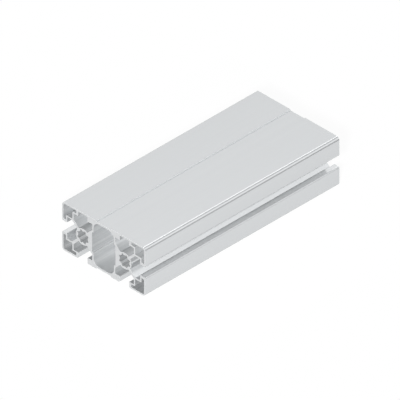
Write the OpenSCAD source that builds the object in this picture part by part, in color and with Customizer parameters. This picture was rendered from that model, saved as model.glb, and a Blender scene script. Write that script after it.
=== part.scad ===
// Aluminium extrusion profile, two grid modules wide and one high.
// Open T-slots run along both narrow sides and twice along the underside; the upper wide face is closed.
// The piece lies on its underside: X runs across the section, Y along the length, Z up.

/* [Stock] */
// Length of the cut piece
stock_length = 210; // [60:10:3000]

/* [Outline] */
// Grid module: the section is two modules wide and one module high
module_size = 45; // [42:0.5:60]
// Radius of the four outer corners
corner_radius = 3; // [2:0.25:5]
// Thickness of the outer walls and of the skins that close the upper slots
outer_wall = 1.5; // [1:0.1:1.8]
// Thickness of the walls between the hollows, the slots and the middle chamber
inner_wall = 1.3; // [0.9:0.1:2]
// Radius of the small inside corners
inside_radius = 0.6; // [0.3:0.05:0.8]
// Rounding of the small outside edges, such as the lips' inner ones
edge_radius = 0.5; // [0.2:0.05:0.6]

/* [T-slots] */
// Width of a slot's mouth, between its lips
slot_mouth = 10; // [8:0.2:12]
// Width of a slot behind its lips
slot_width = 20.2; // [18:0.2:21]
// Depth of the lips, from the outer face to the widened slot
lip_depth = 5.6; // [5:0.1:7]
// Length of solid metal at the free end of a lip
lip_end = 2.2; // [1.5:0.1:3]
// Radius of the lips' outer edges, on both sides of a mouth
lip_radius = 1.5; // [0.5:0.25:2]

/* [Cores] */
// Outer diameter of a core
core_diameter = 15; // [13:0.2:17]
// Thickness of a core's wall behind the flutes of its hole
core_wall = 1.2; // [0.8:0.1:1.8]
// Number of flutes around a core hole
flute_count = 8; // [4:1:10]
// Width of one flute
flute_width = 2; // [1.4:0.1:2.4]
// Depth of a flute behind the lands
flute_depth = 1.1; // [0.6:0.1:1.3]
// Thickness of the diagonal webs
web = 2.2; // [1.4:0.1:3]
// Radius between a web and its core
web_blend = 0.7; // [0.4:0.1:1.2]

/* [Middle chamber] */
// Wall between the chamber and the shallow grooves
chamber_wall = 1.6; // [1:0.1:3]
// Radius of the chamber's corners
chamber_radius = 6.5; // [2:0.5:8]
// Height of the pockets in the chamber's sides
pocket_height = 19; // [12:0.5:20]
// Depth of each side pocket
pocket_depth = 1.5; // [1.2:0.1:2.5]

/* [Grooves] */
// Width of the shallow grooves along the middle of both wide faces
groove_width = 16; // [10:1:20]
// Width of each sloping side of a groove
groove_side = 0.1; // [0.1:0.1:3]
// Depth of a groove
groove_depth = 1; // [0.4:0.1:1.5]

/* [Hidden] */
$fn = 96;
// Carries a cut clear of the face or the space that it opens into
overrun = 1;
half = module_size / 2;
slot_half = slot_width / 2;
mouth_half = slot_mouth / 2;
lip_level = half - lip_depth;
wall_edge = half - slot_half - inner_wall;
arm_reach = half - mouth_half - lip_end;
arm_width = lip_depth - inner_wall;
hollow_radius = corner_radius - outer_wall;
flute_radius = flute_width / 2;
flute_circle = core_diameter / 2 - core_wall - flute_radius;
core_bore = core_diameter - 2 * (core_wall + flute_depth);
chamber_edge = groove_depth + chamber_wall;
pocket_half = pocket_height / 2;

// What a rounding of radius r takes off a square corner at the origin
module corner_waste(r) {
    difference() {
        square(r);
        translate([r, r]) circle(r = r);
    }
}

// Rectangle between two corners; the radii run anticlockwise from the first corner
module rounded_rectangle(low, high, radii) {
    corners = [low, [high.x, low.y], high, [low.x, high.y]];
    difference() {
        translate(low) square(high - low);
        for (i = [0:3])
            if (radii[i] > 0)
                translate(corners[i]) rotate(90 * i) corner_waste(radii[i]);
    }
}

// Copies across the section's upright middle line
module both_sides() {
    children();
    mirror([1, 0]) children();
}

// Copies across the section's level middle line
module both_faces() {
    children();
    translate([0, module_size]) mirror([0, 1]) children();
}

// The middle of the right-hand grid module
module at_module() {
    translate([half, half]) children();
}

module outline() {
    rounded_rectangle([-module_size, 0], [module_size, module_size], [for (i = [0:3]) corner_radius]);
}

// Metal in the middle of a module: a core and four diagonal webs, blended where they meet
module core_and_webs() {
    rotate(45) {
        circle(d = core_diameter);
        for (i = [0:3])
            rotate(90 * i) {
                translate([0, -web / 2]) square([module_size, web]);
                web_fillet();
                mirror([0, 1]) web_fillet();
            }
    }
}

// Fillet between a core and one side of the web that leaves it along +X
module web_fillet() {
    centre_y = web / 2 + web_blend;
    centre_x = sqrt(pow(core_diameter / 2 + web_blend, 2) - pow(centre_y, 2));
    difference() {
        polygon([[0, 0], [centre_x, 0], [centre_x, centre_y]]);
        translate([centre_x, centre_y]) circle(r = web_blend);
    }
}

// Space behind the lips of the slot that faces +Y, in a module's own axes
module slot_channel() {
    difference() {
        intersection() {
            rounded_rectangle([-slot_half, 0], [slot_half, lip_level], [0, 0, inside_radius, inside_radius]);
            polygon([[0, 0], [module_size, module_size], [-module_size, module_size]]);
        }
        core_and_webs();
    }
}

// Slot that is open to the outside, with rounded lip edges
module open_slot() {
    slot_channel();
    translate([-mouth_half, lip_level - overrun]) square([slot_mouth, lip_depth + 2 * overrun]);
    both_sides() {
        translate([mouth_half, lip_level]) corner_waste(edge_radius);
        translate([mouth_half, half]) mirror([0, 1]) corner_waste(lip_radius);
    }
}

// Slot whose mouth is closed by the outer skin
module closed_slot() {
    slot_channel();
    rounded_rectangle([-mouth_half, lip_level - overrun], [mouth_half, half - outer_wall],
        [0, 0, inside_radius, inside_radius]);
    both_sides() translate([mouth_half, lip_level]) corner_waste(edge_radius);
}

// Stepped hollow in the lower right corner of the section, reaching into both lips
module corner_hollow() {
    radii = [hollow_radius, inside_radius, inside_radius, inside_radius];
    low = [outer_wall, outer_wall];
    translate([module_size, 0]) mirror([1, 0]) {
        rounded_rectangle(low, [wall_edge, wall_edge], radii);
        rounded_rectangle(low, [arm_reach, arm_width], radii);
        rounded_rectangle(low, [arm_width, arm_reach], radii);
        translate([wall_edge, arm_width]) corner_waste(edge_radius);
        translate([arm_width, wall_edge]) corner_waste(edge_radius);
    }
}

// Fluted hole through a core, for thread-forming end screws
module core_hole() {
    circle(d = core_bore);
    for (i = [0:flute_count - 1])
        rotate((i + 0.5) * 360 / flute_count) translate([flute_circle, 0]) circle(r = flute_radius);
}

// Large hollow between the two modules, with a pocket in each side
module middle_chamber() {
    rounded_rectangle([-wall_edge, chamber_edge], [wall_edge, module_size - chamber_edge],
        [for (i = [0:3]) chamber_radius]);
    rounded_rectangle([-wall_edge - pocket_depth, half - pocket_half], [wall_edge + pocket_depth, half + pocket_half],
        [for (i = [0:3]) inside_radius]);
    both_sides() both_faces()
        translate([wall_edge, half - pocket_half]) mirror([0, 1]) corner_waste(edge_radius);
}

// Shallow groove along the middle of the underside
module groove() {
    floor_half = groove_width / 2 - groove_side;
    overrun_half = groove_width / 2 + overrun * groove_side / groove_depth;
    polygon([
        [-floor_half, groove_depth],
        [floor_half, groove_depth],
        [overrun_half, -overrun],
        [-overrun_half, -overrun]
    ]);
}

module section() {
    difference() {
        outline();
        both_sides() at_module() {
            core_hole();
            rotate(180) open_slot();
            rotate(-90) open_slot();
            closed_slot();
        }
        both_sides() both_faces() corner_hollow();
        middle_chamber();
        both_faces() groove();
    }
}

module profile() {
    color("silver")
        translate([0, stock_length / 2, 0]) rotate([90, 0, 0])
            linear_extrude(height = stock_length) section();
}

profile();
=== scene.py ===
"""Looks of the aluminium extrusion profile: a satin anodised bar with sawn ends on a white floor."""

from math import cos, pi, radians, sin

import bmesh
import bpy
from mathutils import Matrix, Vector


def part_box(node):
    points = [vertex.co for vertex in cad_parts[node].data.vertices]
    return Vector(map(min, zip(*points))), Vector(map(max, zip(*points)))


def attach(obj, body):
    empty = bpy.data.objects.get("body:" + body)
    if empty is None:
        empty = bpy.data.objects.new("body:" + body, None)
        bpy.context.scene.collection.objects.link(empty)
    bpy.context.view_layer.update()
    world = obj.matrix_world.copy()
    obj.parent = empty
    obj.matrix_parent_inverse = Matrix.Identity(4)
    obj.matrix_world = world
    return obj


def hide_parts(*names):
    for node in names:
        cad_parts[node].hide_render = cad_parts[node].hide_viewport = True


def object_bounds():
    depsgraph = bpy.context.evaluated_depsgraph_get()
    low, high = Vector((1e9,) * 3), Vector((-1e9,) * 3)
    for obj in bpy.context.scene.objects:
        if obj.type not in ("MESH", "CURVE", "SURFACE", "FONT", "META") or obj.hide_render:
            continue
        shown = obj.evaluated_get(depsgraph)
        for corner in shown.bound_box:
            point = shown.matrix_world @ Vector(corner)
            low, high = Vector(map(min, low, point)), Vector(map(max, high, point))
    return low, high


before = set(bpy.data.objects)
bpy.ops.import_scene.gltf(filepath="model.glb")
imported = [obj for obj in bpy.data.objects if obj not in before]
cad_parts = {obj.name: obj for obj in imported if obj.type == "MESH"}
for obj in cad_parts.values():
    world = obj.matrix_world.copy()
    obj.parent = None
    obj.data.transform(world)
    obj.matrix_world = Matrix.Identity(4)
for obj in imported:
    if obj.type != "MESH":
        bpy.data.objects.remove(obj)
cad_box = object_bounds()

# Places on the bar, in metres; the section is two grid modules wide and one high
BAR_END = cad_box[1][1]
HALF_MODULE = cad_box[1][0] / 2
MOUTH_HALF = 0.005
GROOVE_SIDE = 0.00795
CHAMBER_HALF = 0.0127
NARROW_FROM = 0.014
# Just short of the lips' inner faces, so that these count as behind the lips
LIP_BACK = 0.0055

# Edges of the mesh, in metres and radians, and the part of a normal along Y that tells an end face
CUT_CHAMFER = 0.00015
MERGE_DISTANCE = 1e-6
SHARP_ANGLE = radians(25)
FRONT_NORMAL = -0.99
CUT_NORMAL = 0.5

# Tool marks and grain: sizes in metres, then shares and ranges of the noise
DIE_LINE_PITCH = 0.0006
SAW_LINE_PITCH = 0.0005
SAW_BLADE_CENTRE = (0.06, 0.0, -0.21)
GRAIN_SIZE = 0.00025
DIE_BUMP = 2e-7
SAW_BUMP = 8e-6
BUMP_STRENGTH = 0.5
BROAD_LINE_SCALE = 0.12
DIE_LINE_STRETCH = (1.0, 0.004, 1.0)
GRAIN_IN_TONE = 0.3
GRAIN_IN_HEIGHT = 0.35
TONE_RANGE = (0.3, 0.7)

# Faces with painted light are found by their distance from the middle, to within this much in metres
GROOVE_TOLERANCE = 0.00006
LIP_TOLERANCE = 0.00005

# Painted shade on the hollow walls, with the share of its colour that a wall keeps there; sizes in metres
# Painted shade in crevices, from ambient occlusion within this distance
CREVICE_DISTANCE = 0.002
CREVICE_OPENNESS = (0.5, 0.8)
CREVICE_SHADE_SHARE = 0.36
# Painted shade towards the cut ends, weaker in the wide middle chamber than in the narrow hollows
END_SHADE_DEPTH = 0.02
END_SHADE_SHARE = 0.66
CHAMBER_END_SHADE_SHARE = 0.8
# Painted shade, darker towards the bottom
LOW_SHADE_HEIGHTS = (0.004, 0.04)
LOW_SHADE_SHARE = 0.8
# Painted shade on walls that face up
UPWARD_RANGE = (0.1, 0.9)
UPWARD_SHADE_SHARE = 0.85

# Colours, as linear values
ANODISED = (0.640, 0.655, 0.667)
ANODISED_PALE = (0.670, 0.685, 0.696)
# Painted light on the grooves' sides and the side slots' lips
PAINTED_LIGHT_TONE = (0.745, 0.760, 0.770)
# The hollow colours are paler than the skin's: painted light, which the painted shade on the hollow walls
# takes back down
HOLLOW = (0.580, 0.607, 0.625)
HOLLOW_PALE = (0.960, 0.975, 0.985)
SAWN = (0.600, 0.610, 0.619)
SAWN_PALE = (0.722, 0.732, 0.740)
WHITE = (1.0, 1.0, 1.0)

# Light on matt surfaces: an even level all round, and one softbox
WORLD_LEVEL = 0.28
KEY_LEVEL = 1.1951
KEY_AZIMUTH = radians(40)
KEY_ELEVATION = radians(32)
KEY_DISTANCE = 5.0
KEY_SIZE = 0.375

# Levels that glossy surfaces reflect, by the angle in degrees from straight up towards the right
STRIPS = (
    (-90, 1.06), (-26, 1.06), (-22, 2.9), (-12, 2.9), (-7, 0.4),
    (28, 0.4), (36, 1.15), (66, 1.15), (82, 0.2), (90, 0.2),
)

# The floor ends close to the bar, so that the bar's edges mirror the dark beyond it
FLOOR_HALF = (0.14, 0.17)
FLOOR_HEIGHT = -0.0001
FLOOR_SEEN = (0.9, 0.9, 0.9)
FLOOR_UNSEEN = (0.3, 0.3, 0.3)
FLOOR_ROUGHNESS = 0.9
FLOOR_GLOW = 1.01
FLOOR_GLOW_SHARE = 0.95

# The photograph is a parallel view, 400 pixels square
VIEW_AZIMUTH = radians(45)
VIEW_ELEVATION = radians(35)
FRAME_PIXELS = 400
PIXELS_PER_METRE = 1308.5
VIEW_TARGET = Vector((-0.0004, -0.0004, 0.01617))
VIEW_DISTANCE = 2.0


def rgba(colour):
    return (*colour, 1.0)


def add_node(tree, kind, inputs=None, **settings):
    """Adds a node; each input is a value, or the output socket that feeds it."""
    node = tree.nodes.new(kind)
    for name, value in settings.items():
        setattr(node, name, value)
    for name, value in (inputs or {}).items():
        if isinstance(value, bpy.types.NodeSocket):
            tree.links.new(value, node.inputs[name])
        else:
            node.inputs[name].default_value = value
    return node


def math_node(tree, operation, *values):
    """What a Math node makes of numbers or sockets."""
    return add_node(tree, "ShaderNodeMath", dict(enumerate(values)), operation=operation).outputs[0]


def vector_math(tree, operation, *values):
    """The vector that a Vector Math node makes of vectors or sockets."""
    node = add_node(tree, "ShaderNodeVectorMath", dict(enumerate(values)), operation=operation)
    return node.outputs["Vector"]


def combine(tree, **parts):
    """A vector with the given X, Y or Z, and 0 for the rest."""
    return add_node(tree, "ShaderNodeCombineXYZ", parts).outputs["Vector"]


def component(tree, vector, axis):
    return add_node(tree, "ShaderNodeSeparateXYZ", {"Vector": vector}).outputs[axis]


def map_range(tree, value, start, end):
    """Carries a value from one range to another, and not past its ends."""
    node = add_node(tree, "ShaderNodeMapRange", {
        "Value": value, "From Min": start[0], "From Max": start[1], "To Min": end[0], "To Max": end[1]})
    return node.outputs["Result"]


def mix_values(tree, factor, first, second):
    return add_node(tree, "ShaderNodeMix", {"Factor": factor, 2: first, 3: second}).outputs[0]


def mix_colours(tree, factor, first, second):
    node = add_node(tree, "ShaderNodeMix", {"Factor": factor, 6: first, 7: second}, data_type="RGBA")
    return node.outputs[2]


def new_group(name, kind, inputs, outputs):
    """A node group with named sockets; returns it with its input and output nodes."""
    tree = bpy.data.node_groups.new(name, kind)
    for socket_name, socket_type, value in inputs:
        socket = tree.interface.new_socket(socket_name, in_out="INPUT", socket_type=socket_type)
        if value is not None:
            socket.default_value = value
    for socket_name, socket_type in outputs:
        tree.interface.new_socket(socket_name, in_out="OUTPUT", socket_type=socket_type)
    return tree, tree.nodes.new("NodeGroupInput"), tree.nodes.new("NodeGroupOutput")


def place_in_scene(name, data):
    holder = bpy.data.objects.new(name, data)
    bpy.context.scene.collection.objects.link(holder)
    return holder


# The bar

def section_loops(node):
    """Closed outlines of the node's front end as (x, z) points, with the metal on the left of each."""
    bm = bmesh.new()
    bm.from_mesh(node.data)
    bmesh.ops.remove_doubles(bm, verts=bm.verts, dist=MERGE_DISTANCE)
    front = {face for face in bm.faces if face.normal.y < FRONT_NORMAL}
    following = {}
    for face in front:
        for loop in face.loops:
            if not all(neighbour in front for neighbour in loop.edge.link_faces):
                following[loop.vert] = loop.link_loop_next.vert
    loops = []
    while following:
        start, vert = following.popitem()
        points = [start, vert]
        while vert != start:
            vert = following.pop(vert)
            points.append(vert)
        loops.append([(v.co.x, v.co.z) for v in points[:-1]])
    bm.free()
    return loops


def runs_anticlockwise(points):
    following = points[1:] + points[:1]
    return sum(x0 * y1 - x1 * y0 for (x0, y0), (x1, y1) in zip(points, following)) > 0


def lies_in_underside_slot(x, z):
    """Behind the lips, in the quarter of a grid module that lies under both its diagonals."""
    return LIP_BACK < z < HALF_MODULE - abs(abs(x) - HALF_MODULE)


def section_curve(node):
    """The section as a curve in its own XY plane; its radius is 0 in the hollows and the underside slots."""
    curve = bpy.data.curves.new("section", "CURVE")
    curve.dimensions = "3D"
    for points in section_loops(node):
        spline = curve.splines.new("POLY")
        spline.points.add(len(points) - 1)
        outline = runs_anticlockwise(points)
        for point, (x, z) in zip(spline.points, points):
            point.co = (x, z, 0.0, 1.0)
            # A radius of 0 puts the walls there in the hollow finish, with its painted shade
            point.radius = 1.0 if outline and not lies_in_underside_slot(x, z) else 0.0
        spline.use_cyclic_u = True
    return place_in_scene("section", curve)


def extrude_ring(tree, wall, top, offset):
    """Draws the open edge of a wall out by an offset; returns the longer wall and its new open edge."""
    still = add_node(tree, "FunctionNodeInputVector", vector=(0.0, 0.0, 0.0))
    inputs = {"Mesh": wall, "Offset": still.outputs[0]}
    if top is not None:
        inputs["Selection"] = top
    drawn = add_node(tree, "GeometryNodeExtrudeMesh", inputs, mode="EDGES")
    moved = add_node(tree, "GeometryNodeSetPosition", {
        "Geometry": drawn.outputs["Mesh"], "Selection": drawn.outputs["Top"], "Offset": offset})
    return moved.outputs["Geometry"], drawn.outputs["Top"]


def chamfered_bar(tree, section, length, chamfer):
    """The section drawn out along Z and narrowed at both cuts, with the mark of its hollow walls."""
    tangent = add_node(tree, "GeometryNodeInputTangent").outputs["Tangent"]
    radius = add_node(tree, "GeometryNodeInputRadius").outputs["Radius"]
    capture = tree.nodes.new("GeometryNodeCaptureAttribute")
    capture.capture_items.new("VECTOR", "Outward")
    capture.capture_items.new("FLOAT", "Outside")
    tree.links.new(section, capture.inputs["Geometry"])
    tree.links.new(vector_math(tree, "CROSS_PRODUCT", tangent, (0.0, 0.0, 1.0)), capture.inputs["Outward"])
    tree.links.new(radius, capture.inputs["Outside"])
    all_ways = combine(tree, X=chamfer, Y=chamfer, Z=chamfer)
    outward = vector_math(tree, "MULTIPLY", capture.outputs["Outward"], all_ways)
    inward = vector_math(tree, "MULTIPLY", outward, (-1.0, -1.0, -1.0))

    ring = add_node(tree, "GeometryNodeSetPosition", {
        "Geometry": capture.outputs["Geometry"], "Offset": inward}).outputs["Geometry"]
    cut = add_node(tree, "GeometryNodeFillCurve", {"Curve": ring}, mode="TRIANGLES").outputs["Mesh"]
    back_cut = add_node(tree, "GeometryNodeFlipFaces", {"Mesh": cut}).outputs["Mesh"]
    front_cut = add_node(tree, "GeometryNodeTransform", {
        "Geometry": cut, "Translation": combine(tree, Z=length)}).outputs["Geometry"]

    rim = add_node(tree, "GeometryNodeCurveToMesh", {"Curve": ring}).outputs["Mesh"]
    rise = combine(tree, Z=chamfer)
    straight = math_node(tree, "SUBTRACT", math_node(tree, "SUBTRACT", length, chamfer), chamfer)
    wall, top = extrude_ring(tree, rim, None, vector_math(tree, "ADD", rise, outward))
    wall, top = extrude_ring(tree, wall, top, combine(tree, Z=straight))
    wall, top = extrude_ring(tree, wall, top, vector_math(tree, "ADD", rise, inward))
    closed_in = add_node(tree, "FunctionNodeCompare", {
        "A": capture.outputs["Outside"], "B": 0.5}, operation="LESS_THAN")
    marked = add_node(tree, "GeometryNodeCaptureAttribute", domain="FACE")
    marked.capture_items.new("BOOLEAN", "Hollow")
    tree.links.new(wall, marked.inputs["Geometry"])
    tree.links.new(closed_in.outputs["Result"], marked.inputs["Hollow"])

    joined = tree.nodes.new("GeometryNodeJoinGeometry")
    for part in (marked.outputs["Geometry"], back_cut, front_cut):
        tree.links.new(part, joined.inputs["Geometry"])
    closed = add_node(tree, "GeometryNodeMergeByDistance", {
        "Geometry": joined.outputs["Geometry"], "Distance": MERGE_DISTANCE})
    return closed.outputs["Geometry"], marked.outputs["Hollow"]


def shade_by_angle(tree, mesh, sharp_angle):
    """Smooth faces, with a sharp edge wherever two of them meet at more than the angle."""
    smooth = add_node(tree, "GeometryNodeSetShadeSmooth", {
        "Geometry": mesh, "Shade Smooth": True}, domain="FACE")
    angle = add_node(tree, "GeometryNodeInputMeshEdgeAngle")
    sharp = add_node(tree, "FunctionNodeCompare", {
        "A": angle.outputs["Unsigned Angle"], "B": sharp_angle}, operation="GREATER_THAN")
    edged = add_node(tree, "GeometryNodeSetShadeSmooth", {
        "Geometry": smooth.outputs["Geometry"], "Selection": sharp.outputs["Result"],
        "Shade Smooth": False}, domain="EDGE")
    return edged.outputs["Geometry"]


def lay_along_y(tree, bar, length):
    """Turns the bar from Z to Y, with its middle at the origin."""
    laid = add_node(tree, "GeometryNodeTransform", {
        "Geometry": bar, "Rotation": (pi / 2, 0.0, 0.0),
        "Translation": combine(tree, Y=math_node(tree, "MULTIPLY", length, 0.5))})
    return laid.outputs["Geometry"]


def faces_an_end(tree):
    """Marks the faces that look along the bar: the two cuts and their chamfers."""
    normal = add_node(tree, "GeometryNodeInputNormal").outputs["Normal"]
    lengthways = math_node(tree, "ABSOLUTE", component(tree, normal, "Y"))
    return add_node(tree, "FunctionNodeCompare", {
        "A": lengthways, "B": CUT_NORMAL}, operation="GREATER_THAN").outputs["Result"]


def sawn_bar_tree():
    """Geometry Nodes that draw a section out to a bar, with a small chamfer round each sawn end."""
    tree, entry, leave = new_group("sawn_bar", "GeometryNodeTree", (
        ("Section", "NodeSocketGeometry", None),
        ("Length", "NodeSocketFloat", 2 * BAR_END),
        ("Cut Chamfer", "NodeSocketFloat", CUT_CHAMFER),
        ("Sharp Angle", "NodeSocketFloat", SHARP_ANGLE),
        ("Skin Finish", "NodeSocketMaterial", None),
        ("Hollow Finish", "NodeSocketMaterial", None),
        ("Cut Finish", "NodeSocketMaterial", None),
    ), (("Bar", "NodeSocketGeometry"),))
    length = entry.outputs["Length"]
    bar, hollow = chamfered_bar(tree, entry.outputs["Section"], length, entry.outputs["Cut Chamfer"])
    shaded = shade_by_angle(tree, bar, entry.outputs["Sharp Angle"])
    laid = lay_along_y(tree, shaded, length)
    real = add_node(tree, "GeometryNodeRealizeInstances", {"Geometry": laid})
    skinned = add_node(tree, "GeometryNodeSetMaterial", {
        "Geometry": real.outputs["Geometry"], "Material": entry.outputs["Skin Finish"]})
    lined = add_node(tree, "GeometryNodeSetMaterial", {
        "Geometry": skinned.outputs["Geometry"], "Selection": hollow,
        "Material": entry.outputs["Hollow Finish"]})
    finished = add_node(tree, "GeometryNodeSetMaterial", {
        "Geometry": lined.outputs["Geometry"], "Selection": faces_an_end(tree),
        "Material": entry.outputs["Cut Finish"]})
    tree.links.new(finished.outputs["Geometry"], leave.inputs["Bar"])
    return tree


def sawn_bar(node, skin_finish, hollow_finish, cut_finish):
    """The bar as a plain mesh piece, drawn out of the CAD node's own section."""
    low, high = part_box(node.name)
    section = section_curve(node)
    tree = sawn_bar_tree()
    modifier = section.modifiers.new("sawn_bar", "NODES")
    modifier.node_group = tree
    values = {"Length": high[1] - low[1], "Cut Chamfer": CUT_CHAMFER, "Sharp Angle": SHARP_ANGLE,
              "Skin Finish": skin_finish, "Hollow Finish": hollow_finish, "Cut Finish": cut_finish}
    for item in tree.interface.items_tree:
        if item.in_out == "INPUT" and item.name in values:
            modifier[item.identifier] = values[item.name]
    evaluated = section.evaluated_get(bpy.context.evaluated_depsgraph_get())
    mesh = bpy.data.meshes.new_from_object(evaluated)
    mesh.name = "bar"
    bpy.data.objects.remove(section)
    return place_in_scene("bar", mesh)


# The finishes

def tool_lines_group():
    """Fine lines that a tool leaves: noise, drawn out wherever the incoming position doesn't change."""
    tree, entry, leave = new_group("tool_lines", "ShaderNodeTree", (
        ("Position", "NodeSocketVector", None),
        ("Pitch", "NodeSocketFloat", DIE_LINE_PITCH),
    ), (("Height", "NodeSocketFloat"), ("Tone", "NodeSocketFloat")))
    position = entry.outputs["Position"]
    frequency = math_node(tree, "DIVIDE", 1.0, entry.outputs["Pitch"])
    fine = add_node(tree, "ShaderNodeTexNoise", {
        "Vector": position, "Scale": frequency, "Detail": 2.0, "Roughness": 0.6}).outputs["Fac"]
    broad = add_node(tree, "ShaderNodeTexNoise", {
        "Vector": position, "Scale": math_node(tree, "MULTIPLY", frequency, BROAD_LINE_SCALE),
        "Detail": 1.0}).outputs["Fac"]
    tree.links.new(fine, leave.inputs["Height"])
    tree.links.new(mix_values(tree, 0.5, fine, broad), leave.inputs["Tone"])
    return tree


def etched_grain_group():
    """Even, fine speckle of an etched or sawn metal surface."""
    tree, entry, leave = new_group("etched_grain", "ShaderNodeTree", (
        ("Position", "NodeSocketVector", None),
        ("Grain Size", "NodeSocketFloat", GRAIN_SIZE),
    ), (("Speckle", "NodeSocketFloat"),))
    frequency = math_node(tree, "DIVIDE", 1.0, entry.outputs["Grain Size"])
    noise = add_node(tree, "ShaderNodeTexNoise", {
        "Vector": entry.outputs["Position"], "Scale": frequency, "Detail": 1.0})
    tree.links.new(noise.outputs["Fac"], leave.inputs["Speckle"])
    return tree


def along_the_bar(tree, position):
    """Position for lines that run along the bar and change only slowly on the way."""
    node = add_node(tree, "ShaderNodeMapping", {"Vector": position, "Scale": DIE_LINE_STRETCH})
    return node.outputs["Vector"]


def across_the_cut(tree, position):
    """Position for the arcs of a round saw blade: the distance from the blade's centre."""
    centred = vector_math(tree, "SUBTRACT", position, SAW_BLADE_CENTRE)
    flat = vector_math(tree, "MULTIPLY", centred, (1.0, 0.0, 1.0))
    return add_node(tree, "ShaderNodeVectorMath", {0: flat}, operation="LENGTH").outputs["Value"]


def painted_light_on_grooves_and_lips(tree, position, colour):
    """A colour with painted light: paler on the grooves' sides and the side slots' lips."""
    aside = math_node(tree, "ABSOLUTE", component(tree, position, "X"))
    on_groove = math_node(tree, "COMPARE", aside, GROOVE_SIDE, GROOVE_TOLERANCE)
    above_slot = math_node(tree, "SUBTRACT", component(tree, position, "Z"), HALF_MODULE)
    from_slot = math_node(tree, "ABSOLUTE", above_slot)
    on_lip = math_node(tree, "COMPARE", from_slot, MOUTH_HALF, LIP_TOLERANCE)
    # Painted light on the grooves' sides and the lips' faces
    painted_light_mask = math_node(tree, "MAXIMUM", on_groove, on_lip)
    return mix_colours(tree, painted_light_mask, colour, rgba(PAINTED_LIGHT_TONE))


def painted_hollow_shade(tree, position, colour):
    """A colour with painted shade in crevices, towards the cut ends, towards the bottom and on walls that
    face up.
    """
    # Painted shade: darker in crevices, where the walls close in
    crevice = add_node(tree, "ShaderNodeAmbientOcclusion", {"Distance": CREVICE_DISTANCE}, only_local=True)
    crevice_shade_share = map_range(tree, crevice.outputs["AO"], CREVICE_OPENNESS, (CREVICE_SHADE_SHARE, 1.0))
    # Painted shade: darker towards the cut ends, less so in the middle chamber
    aside = math_node(tree, "ABSOLUTE", component(tree, position, "X"))
    end_shade_share = map_range(tree, aside, (CHAMBER_HALF, NARROW_FROM), (CHAMBER_END_SHADE_SHARE, END_SHADE_SHARE))
    lengthways = math_node(tree, "ABSOLUTE", component(tree, position, "Y"))
    end_share = map_range(tree, lengthways, (BAR_END - END_SHADE_DEPTH, BAR_END), (1.0, end_shade_share))
    # Painted shade: darker towards the bottom
    low_shade_share = map_range(tree, component(tree, position, "Z"), LOW_SHADE_HEIGHTS, (LOW_SHADE_SHARE, 1.0))
    # Painted shade: darker on walls that face up
    normal = add_node(tree, "ShaderNodeTexCoord").outputs["Normal"]
    upward_shade_share = map_range(tree, component(tree, normal, "Z"), UPWARD_RANGE, (1.0, UPWARD_SHADE_SHARE))
    share = crevice_shade_share
    for other in (end_share, low_shade_share, upward_shade_share):
        share = math_node(tree, "MULTIPLY", share, other)
    return vector_math(tree, "MULTIPLY", colour, share)


def metal_material(name, groups, lines_position, pitch, metallic, colours, roughness, bump, painted_light_and_shade=None):
    """Aluminium with tool lines and grain; lines_position sets the lines' course, and the last argument adds
    painted light and shade to the colour.
    """
    material = bpy.data.materials.new(name)
    material.use_nodes = True
    tree = material.node_tree
    shader = tree.nodes["Principled BSDF"]
    position = add_node(tree, "ShaderNodeTexCoord").outputs["Object"]
    lines = add_node(tree, "ShaderNodeGroup", node_tree=groups["tool_lines"])
    tree.links.new(lines_position(tree, position), lines.inputs["Position"])
    lines.inputs["Pitch"].default_value = pitch
    grain = add_node(tree, "ShaderNodeGroup", node_tree=groups["etched_grain"])
    tree.links.new(position, grain.inputs["Position"])
    grain.inputs["Grain Size"].default_value = GRAIN_SIZE
    speckle = grain.outputs["Speckle"]
    tone = mix_values(tree, GRAIN_IN_TONE, lines.outputs["Tone"], speckle)
    dark, pale = colours
    colour = mix_colours(tree, map_range(tree, tone, TONE_RANGE, (0.0, 1.0)), rgba(dark), rgba(pale))
    if painted_light_and_shade:
        colour = painted_light_and_shade(tree, position, colour)
    height = mix_values(tree, GRAIN_IN_HEIGHT, lines.outputs["Height"], speckle)
    relief = add_node(tree, "ShaderNodeBump", {
        "Height": height, "Strength": BUMP_STRENGTH, "Distance": bump})
    tree.links.new(colour, shader.inputs["Base Color"])
    tree.links.new(map_range(tree, tone, TONE_RANGE, roughness), shader.inputs["Roughness"])
    tree.links.new(relief.outputs["Normal"], shader.inputs["Normal"])
    shader.inputs["Metallic"].default_value = metallic
    return material


# The studio

def light_rays(tree):
    """Masks of the rays that come from the camera, and of those by reflection or transmission."""
    rays = add_node(tree, "ShaderNodeLightPath").outputs
    reflected = math_node(tree, "MAXIMUM", rays["Is Glossy Ray"], rays["Is Transmission Ray"])
    return rays["Is Camera Ray"], reflected


def studio_world():
    """White to the camera; even light for the bar, with long soft strips for its edges to reflect."""
    world = bpy.data.worlds.new("studio")
    world.use_nodes = True
    tree = world.node_tree
    direction = add_node(tree, "ShaderNodeTexCoord").outputs["Generated"]
    turn = math_node(tree, "ARCTAN2", component(tree, direction, "X"), component(tree, direction, "Z"))
    across = map_range(tree, turn, (-pi / 2, pi / 2), (0.0, 1.0))
    strips = add_node(tree, "ShaderNodeValToRGB", {"Fac": across})
    elements = strips.color_ramp.elements
    for _ in range(len(STRIPS) - len(elements)):
        elements.new(1.0)
    for element, (degrees, level) in zip(elements, STRIPS):
        element.position = degrees / 180 + 0.5
        element.color = (level, level, level, 1.0)
    from_camera, reflected = light_rays(tree)
    light = mix_values(tree, reflected, WORLD_LEVEL, strips.outputs["Color"])
    sky = tree.nodes["Background"]
    sky.inputs["Color"].default_value = rgba(WHITE)
    tree.links.new(mix_values(tree, from_camera, light, 1.0), sky.inputs["Strength"])
    bpy.context.scene.world = world


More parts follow.
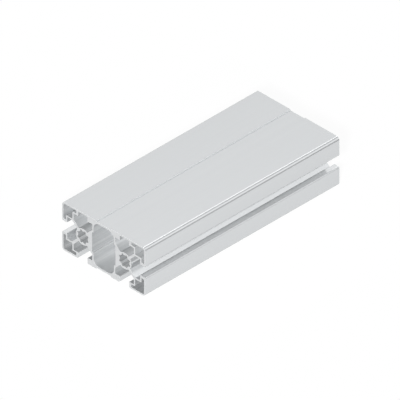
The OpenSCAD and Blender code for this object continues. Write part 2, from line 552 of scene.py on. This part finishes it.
def studio_floor():
    """A white sheet that keeps the bar's shadow, and throws less light back at the bar than it shows."""
    x, y = FLOOR_HALF
    z = FLOOR_HEIGHT
    mesh = bpy.data.meshes.new("floor")
    mesh.from_pydata([(-x, -y, z), (x, -y, z), (x, y, z), (-x, y, z)], [], [(0, 1, 2, 3)])
    floor = place_in_scene("floor", mesh)
    material = bpy.data.materials.new("white_floor")
    material.use_nodes = True
    tree = material.node_tree
    seen = math_node(tree, "MAXIMUM", *light_rays(tree))
    paper = tree.nodes["Principled BSDF"]
    tint = mix_colours(tree, seen, rgba(FLOOR_UNSEEN), rgba(FLOOR_SEEN))
    tree.links.new(tint, paper.inputs["Base Color"])
    paper.inputs["Roughness"].default_value = FLOOR_ROUGHNESS
    paper.inputs["Specular IOR Level"].default_value = 0.0
    glow = add_node(tree, "ShaderNodeEmission", {"Color": rgba(WHITE), "Strength": FLOOR_GLOW})
    glow_share = math_node(tree, "MULTIPLY", seen, FLOOR_GLOW_SHARE)
    mix = add_node(tree, "ShaderNodeMixShader", {0: glow_share, 1: paper.outputs[0], 2: glow.outputs[0]})
    tree.links.new(mix.outputs[0], tree.nodes["Material Output"].inputs["Surface"])
    mesh.materials.append(material)


def aim_at_bar(holder, azimuth, elevation, distance):
    """Turns a lamp or camera to the bar, from the azimuth to the right of its near end, and from above."""
    away = Vector((sin(azimuth) * cos(elevation), -cos(azimuth) * cos(elevation), sin(elevation)))
    holder.location = VIEW_TARGET + away * distance
    holder.rotation_euler = away.to_track_quat("Z", "Y").to_euler()


def key_softbox():
    """A square lamp that faces the bar; its level is what it adds to a white surface that faces it."""
    lamp = bpy.data.lights.new("key_softbox", "AREA")
    lamp.shape = "SQUARE"
    lamp.size = KEY_SIZE
    lamp.energy = KEY_LEVEL * pi * pi * KEY_DISTANCE * KEY_DISTANCE
    holder = place_in_scene("key_softbox", lamp)
    aim_at_bar(holder, KEY_AZIMUTH, KEY_ELEVATION, KEY_DISTANCE)
    holder.visible_glossy = False


def parallel_camera():
    data = bpy.data.cameras.new("camera")
    data.type = "ORTHO"
    data.ortho_scale = FRAME_PIXELS / PIXELS_PER_METRE
    camera = place_in_scene("camera", data)
    aim_at_bar(camera, VIEW_AZIMUTH, VIEW_ELEVATION, VIEW_DISTANCE)
    bpy.context.scene.camera = camera


effect_groups = {"tool_lines": tool_lines_group(), "etched_grain": etched_grain_group()}
skin = metal_material(
    "satin_anodised_skin", effect_groups, along_the_bar, DIE_LINE_PITCH, metallic=0.55,
    colours=(ANODISED, ANODISED_PALE), roughness=(0.12, 0.14), bump=DIE_BUMP, painted_light_and_shade=painted_light_on_grooves_and_lips)
hollow_walls = metal_material(
    "dull_hollow_walls_painted_shade", effect_groups, along_the_bar, DIE_LINE_PITCH, metallic=0.08,
    colours=(HOLLOW, HOLLOW_PALE), roughness=(0.14, 0.2), bump=DIE_BUMP, painted_light_and_shade=painted_hollow_shade)
sawn_end = metal_material(
    "sawn_end", effect_groups, across_the_cut, SAW_LINE_PITCH, metallic=0.5,
    colours=(SAWN, SAWN_PALE), roughness=(0.32, 0.5), bump=SAW_BUMP)
bar = sawn_bar(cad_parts["profile"], skin, hollow_walls, sawn_end)
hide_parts("profile")
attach(bar, "root")

studio_world()
studio_floor()
key_softbox()
parallel_camera()
bpy.context.scene.view_settings.view_transform = "Standard"
